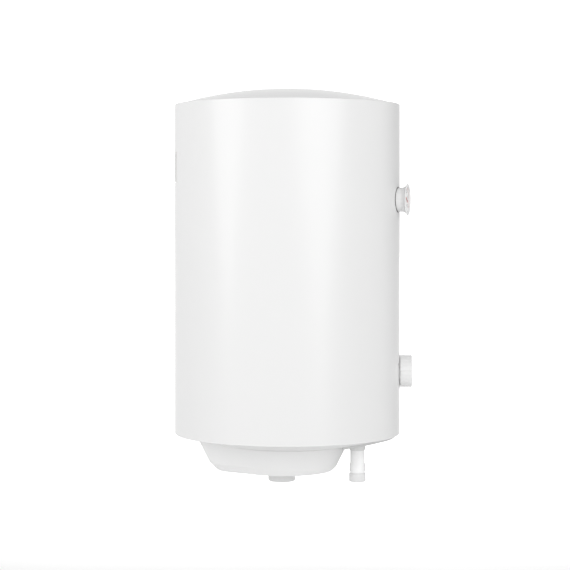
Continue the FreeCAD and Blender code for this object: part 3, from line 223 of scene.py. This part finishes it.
def mesh_object(name, vertices, faces, material, smooth=40):
    mesh = bpy.data.meshes.new(name)
    mesh.from_pydata([tuple(point) for point in vertices], [], faces)
    mesh.validate()
    shell = bmesh.new()
    shell.from_mesh(mesh)
    bmesh.ops.recalc_face_normals(shell, faces=shell.faces)
    shell.to_mesh(mesh)
    shell.free()
    mesh.polygons.foreach_set("use_smooth", [True] * len(mesh.polygons))
    mesh.set_sharp_from_angle(angle=math.radians(smooth))
    mesh.materials.append(material)
    piece = bpy.data.objects.new(name, mesh)
    bpy.context.scene.collection.objects.link(piece)
    return piece


def attach(piece, body):
    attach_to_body(piece, body)


def round_angles(steps):
    """STEPS even angles round a full turn, in radians."""
    return [math.tau * step / steps for step in range(steps)]


def ring_faces(rings, around, closed_rings=False):
    """The quads between RINGS rings of AROUND points each."""
    faces = []
    for ring in range(rings if closed_rings else rings - 1):
        for step in range(around):
            here, there = ring * around, ((ring + 1) % rings) * around
            following = (step + 1) % around
            faces.append((here + step, here + following, there + following, there + step))
    return faces


def local_frame(origin, outward):
    """The matrix that takes (right, up, out) on a face of the heater to the row frame."""
    out = Vector(outward).normalized()
    up = Vector((0, 0, 1))
    right = up.cross(out)
    matrix = Matrix((right, up, out)).transposed().to_4x4()
    matrix.translation = origin
    return matrix


def prism(outline, low, high, place):
    """Vertices and faces of a flat shape between two heights over a face."""
    count = len(outline)
    vertices = [place(x, y, low) for x, y in outline] + [place(x, y, high) for x, y in outline]
    faces = [tuple(range(count)), tuple(range(2 * count - 1, count - 1, -1))]
    faces += [(i, (i + 1) % count, count + (i + 1) % count, count + i) for i in range(count)]
    return vertices, faces


def gather(name, prisms, material):
    """One object from several (vertices, faces) pairs."""
    vertices, faces = [], []
    for some_vertices, some_faces in prisms:
        base = len(vertices)
        vertices += some_vertices
        faces += [tuple(base + index for index in face) for face in some_faces]
    return mesh_object(name, vertices, faces, material, smooth=30)


def clock(angle, distance):
    """The point DISTANCE from the middle of a dial at ANGLE degrees clockwise from the top."""
    return distance * math.sin(math.radians(angle)), distance * math.cos(math.radians(angle))


def tick(angle, inner, outer, width):
    """The outline of a radial tick."""
    side_x, side_y = clock(angle + 90, width / 2)
    near, far = clock(angle, inner), clock(angle, outer)
    return [
        (near[0] - side_x, near[1] - side_y),
        (near[0] + side_x, near[1] + side_y),
        (far[0] + side_x, far[1] + side_y),
        (far[0] - side_x, far[1] - side_y),
    ]


def arc_band(start, end, inner, outer, steps):
    """The outline of a band of a ring from one angle to another."""
    angles = [start + (end - start) * step / steps for step in range(steps + 1)]
    return [clock(angle, outer) for angle in angles] + [clock(angle, inner) for angle in reversed(angles)]


PRINT_THICK = 0.02 * MM


def numeral(name, text, height, middle, place, material):
    """A printed number whose middle is at MIDDLE on a face, its points set down by PLACE."""
    curve = bpy.data.curves.new(name, "FONT")
    curve.body = text
    curve.size = height * 1.4
    curve.align_x = "CENTER"
    curve.align_y = "CENTER"
    curve.resolution_u = 3
    curve.extrude = PRINT_THICK
    maker = bpy.data.objects.new(name, curve)
    bpy.context.scene.collection.objects.link(maker)
    bpy.context.view_layer.update()
    mesh = bpy.data.meshes.new_from_object(maker.evaluated_get(bpy.context.evaluated_depsgraph_get()))
    bpy.data.objects.remove(maker)
    for vertex in mesh.vertices:
        vertex.co = place(middle[0] + vertex.co.x, middle[1] + vertex.co.y, PRINT_THICK + vertex.co.z)
    mesh.materials.clear()
    mesh.materials.append(material)
    piece = bpy.data.objects.new(name, mesh)
    bpy.context.scene.collection.objects.link(piece)
    return piece


# ---- service cover: a smooth tapered tub under the bottom cap --------------------------------------------------------

FRONT_CENTRE, BACK_CENTRE = 4 * MM, 67.6 * MM
# The rim, the bend in the wall and the base: front radius, back radius and height in mm, and tilt in degrees.
COVER_SECTIONS = ((103.5, 72.5, 0.0, 0.0), (78.5, 51.0, -47.3, 2.08), (72.0, 38.0, -56.2, 0.0))
COVER_WALL = 2.5 * MM
WALL_BEND, BASE_BEND = 1.8 * MM, 2.2 * MM
OUTER_GAP, INNER_GAP = 0.3 * MM, 0.15 * MM
GLAND_HOLE = 11 * MM
GLAND = centre_of("gland_nut")
SCREWS = ((-62, -2), (62, -2), (0, 88))
SCREW_WELL = 3.6 * MM


def egg(front, back):
    """Points round an egg-shaped outline, from the left tangent point round the front, in the cover's plane."""
    lean = math.asin((front - back) / (BACK_CENTRE - FRONT_CENTRE))
    points = []

    def along(centre, radius, start, end, steps):
        for step in range(steps):
            angle = start + (end - start) * step / steps
            points.append(Vector((radius * math.cos(angle), centre + radius * math.sin(angle))))

    along(FRONT_CENTRE, front, math.pi - lean, 2 * math.pi + lean, 120)
    near = Vector((front * math.cos(lean), FRONT_CENTRE + front * math.sin(lean)))
    far = Vector((back * math.cos(lean), BACK_CENTRE + back * math.sin(lean)))
    points.extend(near.lerp(far, step / 12) for step in range(12))
    along(BACK_CENTRE, back, lean, math.pi - lean, 72)
    points.extend(Vector((-far.x, far.y)).lerp(Vector((-near.x, near.y)), step / 12) for step in range(12))
    return points


def cover_ring(front, back, height, tilt, inset=0.0, lift=0.0):
    """A ring of points of the cover in the row frame."""
    slope = math.radians(tilt)
    ring = []
    for point in egg(front * MM - inset, back * MM - inset):
        y = point.y * math.cos(slope)
        z = height * MM + lift + point.y * math.sin(slope)
        ring.append(Vector((point.x, AXIS_Y + y, RIM + z)))
    return ring


def dome_height(point):
    """The height of the bottom cap's outside over POINT's place."""
    radius = math.hypot(point.x, point.y - AXIS_Y)
    return RIM - DOME_RISE + DOME_SPHERE - math.sqrt(DOME_SPHERE**2 - radius**2)


def on_dome(top, edge, gap):
    """Where the wall from TOP to EDGE passes GAP under the bottom cap."""
    low, high = 0.0, 1.0
    for _ in range(30):
        middle = (low + high) / 2
        point = top.lerp(edge, middle)
        low, high = (middle, high) if point.z > dome_height(point) - gap else (low, middle)
    return top.lerp(edge, high)


def rounded(before, corner, after, reach, steps):
    """Points of a soft bend at CORNER that starts and ends REACH from it."""
    start = corner + (before - corner).normalized() * reach
    end = corner + (after - corner).normalized() * reach
    shares = [step / steps for step in range(steps + 1)]
    return [start * (1 - t) ** 2 + corner * 2 * t * (1 - t) + end * t**2 for t in shares]


def service_cover():
    """The tub, from a column of points at each place round it: down the outside, to the gland's hole, up the inside."""
    top, edge, base = (cover_ring(*section) for section in COVER_SECTIONS)
    inner_top, inner_edge, inner_base = (
        cover_ring(*section, inset=COVER_WALL, lift=lift)
        for section, lift in zip(COVER_SECTIONS, (0.0, COVER_WALL / 2, COVER_WALL))
    )
    around = len(top)
    columns = []
    for index in range(around):
        middle = Vector((GLAND.x, GLAND.y, base[index].z))
        toward = (base[index] - middle).normalized()
        hole = middle + toward * GLAND_HOLE
        rim = on_dome(top[index], edge[index], OUTER_GAP)
        inward = (middle - rim).normalized() * 0.5 * MM
        column = [rim + inward + Vector((0, 0, 0.35 * MM)), rim + inward * 0.3 + Vector((0, 0, 0.25 * MM)), rim]
        column += [rim.lerp(edge[index], share) for share in (0.04, 0.3, 0.6)]
        column += rounded(rim, edge[index], base[index], WALL_BEND, 7)
        column += rounded(edge[index], base[index], hole, BASE_BEND, 7)
        column += [base[index].lerp(hole, share) for share in (0.2, 0.5, 0.8)]
        inner_middle = Vector((GLAND.x, GLAND.y, inner_base[index].z))
        column += [hole, inner_middle + toward * GLAND_HOLE, inner_base[index], inner_edge[index]]
        column += [on_dome(inner_top[index], inner_edge[index], INNER_GAP)]
        columns.append(column)
    rings = len(columns[0])
    vertices = [columns[step][ring] for ring in range(rings) for step in range(around)]
    return mesh_object("service_cover_tub", vertices, ring_faces(rings, around, True), MATERIALS["white_plastic"], 50)


def round_cutter(x, y, low, high, radius, steps=48):
    outline = [(x + radius * math.cos(a), y + radius * math.sin(a)) for a in round_angles(steps)]
    vertices, faces = prism(outline, low, high, lambda px, py, pz: Vector((px, py, pz)))
    return mesh_object("cutter", vertices, faces, MATERIALS["white_plastic"])


def cut_out(piece, cutter):
    """Takes CUTTER out of PIECE, and out of the scene."""
    modifier = piece.modifiers.new("cut", "BOOLEAN")
    modifier.operation = "DIFFERENCE"
    modifier.solver = "EXACT"
    modifier.object = cutter
    bpy.context.view_layer.update()
    mesh = bpy.data.meshes.new_from_object(piece.evaluated_get(bpy.context.evaluated_depsgraph_get()))
    piece.modifiers.clear()
    piece.data = mesh
    bpy.data.objects.remove(cutter)


cover = service_cover()
base_height = RIM + COVER_SECTIONS[-1][2] * MM
for x, y in SCREWS:
    cut_out(cover, round_cutter(x * MM, AXIS_Y + y * MM, base_height - 5 * MM, base_height + 4 * MM, SCREW_WELL))
cover.data.set_sharp_from_angle(angle=math.radians(50))
attach(cover, "heater")
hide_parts("service_cover")


# ---- pipe sockets with real threads ----------------------------------------------------------------------------------

SOCKET_BORE = 9.3 * MM
SOCKET_CHAMFER = 1.0 * MM
THREAD_PITCH = 1.814 * MM
THREAD_DEPTH = 0.9 * MM


def socket_profile(height, outer):
    """The outside of a socket from its lower end to its upper end, as (radius, height)."""
    shoulder, corner = outer - SOCKET_CHAMFER, outer - SOCKET_CHAMFER * 0.3
    return [
        (SOCKET_BORE + 1.2 * MM, 0),
        (shoulder, 0),
        (corner, SOCKET_CHAMFER * 0.3),
        (outer, SOCKET_CHAMFER),
        (outer, height - SOCKET_CHAMFER),
        (corner, height - SOCKET_CHAMFER * 0.3),
        (shoulder, height),
        (SOCKET_BORE, height),
    ]


def threaded_socket(node):
    """A socket with a helical thread in its bore, in the place of NODE."""
    low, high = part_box(node)
    middle, height = (low + high) / 2, high.z - low.z
    around, levels = 96, 90
    vertices = []

    def add_point(angle, radius, z):
        vertices.append((middle.x + radius * math.cos(angle), middle.y + radius * math.sin(angle), low.z + z))

    for radius, z in socket_profile(height, (high.x - low.x) / 2):
        for angle in round_angles(around):
            add_point(angle, radius, z)
    for level in range(1, levels):
        z = height * (1 - level / levels)
        fade = min(1.0, (height - z) / (1.5 * MM))
        flare = max(0.0, 1 - z / (1.1 * MM)) * 0.5 * MM
        for step, angle in enumerate(round_angles(around)):
            phase = (z / THREAD_PITCH - step / around) % 1
            add_point(angle, SOCKET_BORE + THREAD_DEPTH * fade * (1 - abs(2 * phase - 1)) + flare, z)
    rings = len(vertices) // around
    piece = mesh_object(f"{node}_threaded", vertices, ring_faces(rings, around, True), SOCKET_WHITE, 40)
    attach(piece, "heater")
    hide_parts(node)


for node in ("hot_outlet_socket", "cold_inlet_socket"):
    threaded_socket(node)


# ---- jacket's folded seam down the back ------------------------------------------------------------------------------


SEAM_END = 23.3 * MM


def back_seam(name, low, high):
    """A flat lock seam on the back of the jacket between two heights."""
    half, rise, steps = 4.5 * MM, 0.8 * MM, 60
    profile = [
        (-half - 1 * MM, 0),
        (-half, rise * 0.75),
        (-half + 0.6 * MM, rise),
        (half - 0.6 * MM, rise),
        (half, rise * 0.3),
        (half + 0.4 * MM, 0),
        (half, -0.3 * MM),
        (-half, -0.3 * MM),
    ]
    vertices = []
    for step in range(steps + 1):
        z = low + (high - low) * step / steps
        for across, out in profile:
            angle = across / RADIUS
            reach = RADIUS + out
            vertices.append((reach * math.sin(angle), AXIS_Y + reach * math.cos(angle), z))
    faces = ring_faces(steps + 1, len(profile))
    faces += [tuple(range(len(profile))), tuple(len(vertices) - 1 - index for index in range(len(profile)))]
    attach(mesh_object(name, vertices, faces, MATERIALS["white_paint"], 35), "heater")


back_seam("back_seam_lower", jacket_low.z, -SEAM_END)
back_seam("back_seam_upper", SEAM_END, jacket_high.z)


# ---- printed marks on the front: thermostat scale and thermometer dial -----------------------------------------------

KNOB = centre_of("thermostat_knob")
PIVOT = centre_of("needle_pivot")
GAUGE_OUT = Vector((PIVOT.x, PIVOT.y - AXIS_Y, 0)).normalized()
# Both scales start at lower left and sweep 270 degrees clockwise, with five numbers on each.
SCALE_START = -135
NUMBER_STEP = 67.5
DIAL_FACE = 182.8 * MM
TICK_END = 16.4


def on_jacket(x, y, lift):
    """A point X to the right of the knob and Y above it, on the jacket."""
    reach = RADIUS + lift + 0.00003
    return Vector((KNOB.x + x, AXIS_Y - math.sqrt(reach**2 - (KNOB.x + x) ** 2), KNOB.z + y))


def thermostat_scale():
    """The ticks and numbers on the jacket round the knob."""
    marks = []
    for step in range(28):
        outer, width = (27.8, 0.7) if step % 3 == 0 else (26.8, 0.4)
        mark = tick(SCALE_START + 10 * step, 25.4 * MM, outer * MM, width * MM)
        marks.append(prism(mark, -0.00005, 0.00005, on_jacket))
    attach(gather("thermostat_ticks", marks, PRINT_GREY), "heater")
    for index, text in enumerate(("30", "40", "50", "60", "70")):
        spot = clock(SCALE_START + NUMBER_STEP * index, 31.6 * MM)
        piece = numeral(f"thermostat_number_{text}", text, 3.8 * MM, spot, on_jacket, PRINT_GREY)
        attach(piece, "heater")


def thermometer_print():
    """The ticks, bands, numbers and unit on the front of the thermometer's dial plate."""
    matrix = local_frame(Vector((0, AXIS_Y, PIVOT.z)) + GAUGE_OUT * DIAL_FACE, GAUGE_OUT)

    def on_dial(x, y, lift):
        return matrix @ Vector((x, y, lift + 0.00002))

    ticks = []
    for step in range(41):
        length, width = (3, 0.45) if step % 5 == 0 else (1.6, 0.22)
        mark = tick(SCALE_START + 6.75 * step, (TICK_END - length) * MM, TICK_END * MM, width * MM)
        ticks.append(prism(mark, 0, 0.00005, on_dial))
    attach(gather("thermometer_ticks", ticks, PRINT_BLACK), "heater")
    for name, start, end, material in (
        ("thermometer_cold_band", SCALE_START, -34, PRINT_BLUE),
        ("thermometer_hot_band", -33, 135, PRINT_RED),
    ):
        band = [prism(arc_band(start, end, 17.3 * MM, 17.7 * MM, 48), 0, 0.00004, on_dial)]
        attach(gather(name, band, material), "heater")
    for index, text in enumerate(("0", "20", "40", "60", "80")):
        spot = clock(SCALE_START + NUMBER_STEP * index, 10.6 * MM)
        piece = numeral(f"thermometer_number_{text}", text, 2.5 * MM, spot, on_dial, PRINT_BLACK)
        attach(piece, "heater")
    unit = numeral("thermometer_unit", "°C", 2.3 * MM, (0, -9.5 * MM), on_dial, PRINT_BLACK)
    attach(unit, "heater")


def bezel_shadow_ring():
    """A thin black ring round the foot of the thermometer's bezel, bent to the jacket's surface: painted shadow in the
    gap between the bezel and the jacket.
    """
    across = Vector((-GAUGE_OUT.y, GAUGE_OUT.x, 0))
    base = Vector((0, AXIS_Y, PIVOT.z))
    profile = ((17.6, -0.1), (18.9, -0.1), (19.1, 0.15), (19.0, 0.5), (17.6, 0.5))
    around = 120
    vertices = []
    for radius, lift in profile:
        for angle in round_angles(around):
            side, up = radius * MM * math.cos(angle), radius * MM * math.sin(angle)
            out = math.sqrt((RADIUS + lift * MM) ** 2 - side**2)
            vertices.append(base + across * side + GAUGE_OUT * out + Vector((0, 0, up)))
    faces = ring_faces(len(profile), around, True)
    # The black ring is painted shadow: a dark band where the bezel meets the jacket.
    piece = mesh_object("thermometer_gap_shadow", vertices, faces, MATERIALS["black_rubber"])
    attach(piece, "heater")


def needle_cap():
    """The turned cap over the needle's pivot."""
    matrix = local_frame(Vector((0, AXIS_Y, PIVOT.z)), GAUGE_OUT)
    profile = ((0.7, 183.56), (2.1, 183.56), (2.1, 183.7), (1.7, 183.88), (0.9, 183.94), (0.7, 183.9))
    around = 48
    vertices = []
    for radius, out in profile:
        for angle in round_angles(around):
            vertices.append(matrix @ (Vector((radius * math.cos(angle), radius * math.sin(angle), out)) * MM))
    piece = mesh_object("needle_cap", vertices, ring_faces(len(profile), around, True), MATERIALS["bare_steel"], 35)
    attach(piece, "needle")


thermostat_scale()
thermometer_print()
# The bezel's black ring paints the shadow in the gap at its foot.
bezel_shadow_ring()
needle_cap()


# ---- floor, backdrop and lights --------------------------------------------------------------------------------------

FLOOR_HEIGHT = -1.45
FLOOR_RADIUS = 60
EYE = -0.0777


def combine(tree, first, second, operation="ADD"):
    """The sum, or another OPERATION, of a socket and a socket or number."""
    both = add_node(tree, "ShaderNodeMath", operation=operation)
    tree.links.new(first, both.inputs[0])
    if isinstance(second, (int, float)):
        both.inputs[1].default_value = second
    else:
        tree.links.new(second, both.inputs[1])
    return both.outputs[0]


def glow_round(tree, direction, base, lobes):
    """BASE, softly more or less round each of LOBES: (direction, cosine where it ends, strength)."""
    total = base
    for middle, edge, strength in lobes:
        along = add_node(tree, "ShaderNodeVectorMath", operation="DOT_PRODUCT")
        along.inputs[1].default_value = Vector(middle).normalized()
        tree.links.new(direction, along.inputs[0])
        spread = add_node(
            tree, "ShaderNodeMapRange",
            {"From Min": edge, "From Max": 1.0, "To Min": 0.0, "To Max": strength},
            interpolation_type="SMOOTHSTEP",
        )
        tree.links.new(along.outputs["Value"], spread.inputs["Value"])
        total = combine(tree, spread.outputs["Result"], total)
    return total


def pale_floor(near, far, lobes):
    """A very large pale disc with a soft glow: NEAR the heater, and FAR from it with LOBES round some directions."""
    material, tree, shader = new_material("pale_floor")
    where = add_node(tree, "ShaderNodeTexCoord")
    reach = add_node(tree, "ShaderNodeVectorMath", operation="LENGTH")
    tree.links.new(where.outputs["Object"], reach.inputs[0])
    way = add_node(tree, "ShaderNodeVectorMath", operation="NORMALIZE")
    tree.links.new(where.outputs["Object"], way.inputs[0])
    away = add_node(
        tree, "ShaderNodeMapRange", {"From Min": 3.0, "From Max": 6.5, "To Min": 0.0, "To Max": 1.0},
        interpolation_type="SMOOTHSTEP",
    )
    tree.links.new(reach.outputs["Value"], away.inputs["Value"])
    far_glow = glow_round(tree, way.outputs["Vector"], far - near, lobes)
    glow = combine(tree, combine(tree, far_glow, away.outputs["Result"], "MULTIPLY"), near)
    grain = noise_node(tree, 3, 3.0)
    paint = ramp_node(tree, grain.outputs["Fac"], (0.3, (0.72, 0.72, 0.72)), (0.7, (0.74, 0.74, 0.74)))
    tree.links.new(paint.outputs["Color"], shader.inputs["Base Color"])
    shader.inputs["Roughness"].default_value = 0.9
    shader.inputs["Emission Color"].default_value = (1, 1, 1, 1)
    tree.links.new(glow, shader.inputs["Emission Strength"])
    outline = [(FLOOR_RADIUS * math.cos(angle), FLOOR_RADIUS * math.sin(angle)) for angle in round_angles(128)]
    vertices, faces = prism(outline, -0.02, 0.0, lambda x, y, z: Vector((x, y, z)))
    floor = mesh_object("pale_floor", vertices, faces, material)
    floor.location = (0, AXIS_Y, FLOOR_HEIGHT)


def glow_card(name, angle, distance, outline, strength):
    """A glowing card that faces the heater from ANGLE degrees, from -X towards -Y, with OUTLINE in its plane."""
    material = bpy.data.materials.new(name)
    material.use_nodes = True
    tree = material.node_tree
    tree.nodes.clear()
    lamp = add_node(tree, "ShaderNodeEmission", {"Strength": strength})
    out = add_node(tree, "ShaderNodeOutputMaterial")
    tree.links.new(lamp.outputs["Emission"], out.inputs["Surface"])
    turn = math.radians(angle)
    toward = Vector((-math.cos(turn), -math.sin(turn), 0))
    matrix = local_frame(Vector((0, AXIS_Y, EYE)) + toward * distance, -toward)
    vertices = [matrix @ Vector((x, z, 0)) for x, z in outline]
    card = mesh_object(name, vertices, [tuple(range(len(outline)))], material)


def studio_air(base, lobes):
    """White surroundings of strength BASE, softly brighter or darker round the direction of each of LOBES."""
    world = bpy.data.worlds.new("studio")
    bpy.context.scene.world = world
    world.use_nodes = True
    tree = world.node_tree
    back = tree.nodes["Background"]
    back.inputs["Color"].default_value = (1, 1, 1, 1)
    where = add_node(tree, "ShaderNodeTexCoord")
    strength = glow_round(tree, where.outputs["Generated"], base, lobes)
    tree.links.new(strength, back.inputs["Strength"])


pale_floor(0.175, 0.36, (((1, 0, 0), 0.88, 0.8), ((0.8, -0.6, 0), 0.85, -0.3)))
studio_air(
    0.56,
    (
        ((-0.15, -1.0, -0.1), 0.35, -0.196),
        ((0.1, -1.0, 0.0), 0.7, 0.4),
        ((0, 1, 0), 0.35, 0.511),
        ((-1, 0, 0), 0.35, 0.35),
        ((1, 0, 0), 0.5, 0.3),
        ((1, 0, -0.03), 0.9, 0.6),
        ((0.85, -0.53, 0), 0.8, -0.4),
        ((0, 0, 1), 0.3, 0.03),
    ),
)
for card_name, card_angle, card_half, card_foot, card_strength in (
    ("left_soft_card", -58.5, 1.2, -0.42, 3.204),
    ("right_soft_card", 35, 1.6, -0.6, 3.229),
):
    card_outline = ((0.0, card_foot), (-card_half, 0.45), (-card_half, 2.2), (card_half, 2.2), (card_half, 0.45))
    glow_card(card_name, card_angle, 3.4, card_outline, card_strength)


# ---- camera ----------------------------------------------------------------------------------------------------------

VIEW_TURN = math.radians(2.4)
DISTANCE = 2.601
camera_data = bpy.data.cameras.new("camera")
camera_data.lens = 108.57
camera_data.sensor_width = 36
camera_data.shift_x = -0.004
camera_data.shift_y = -0.1153
camera = bpy.data.objects.new("camera", camera_data)
bpy.context.scene.collection.objects.link(camera)
look = Vector((math.cos(VIEW_TURN), math.sin(VIEW_TURN), 0))
camera.location = Vector((0, AXIS_Y, EYE)) - look * DISTANCE
camera.rotation_mode = "QUATERNION"
camera.rotation_quaternion = look.to_track_quat("-Z", "Y")
camera_data.clip_start, camera_data.clip_end = 0.05, 200
bpy.context.scene.camera = camera
bpy.context.scene.view_settings.view_transform = "Standard"
bpy.context.scene.view_settings.look = "None"
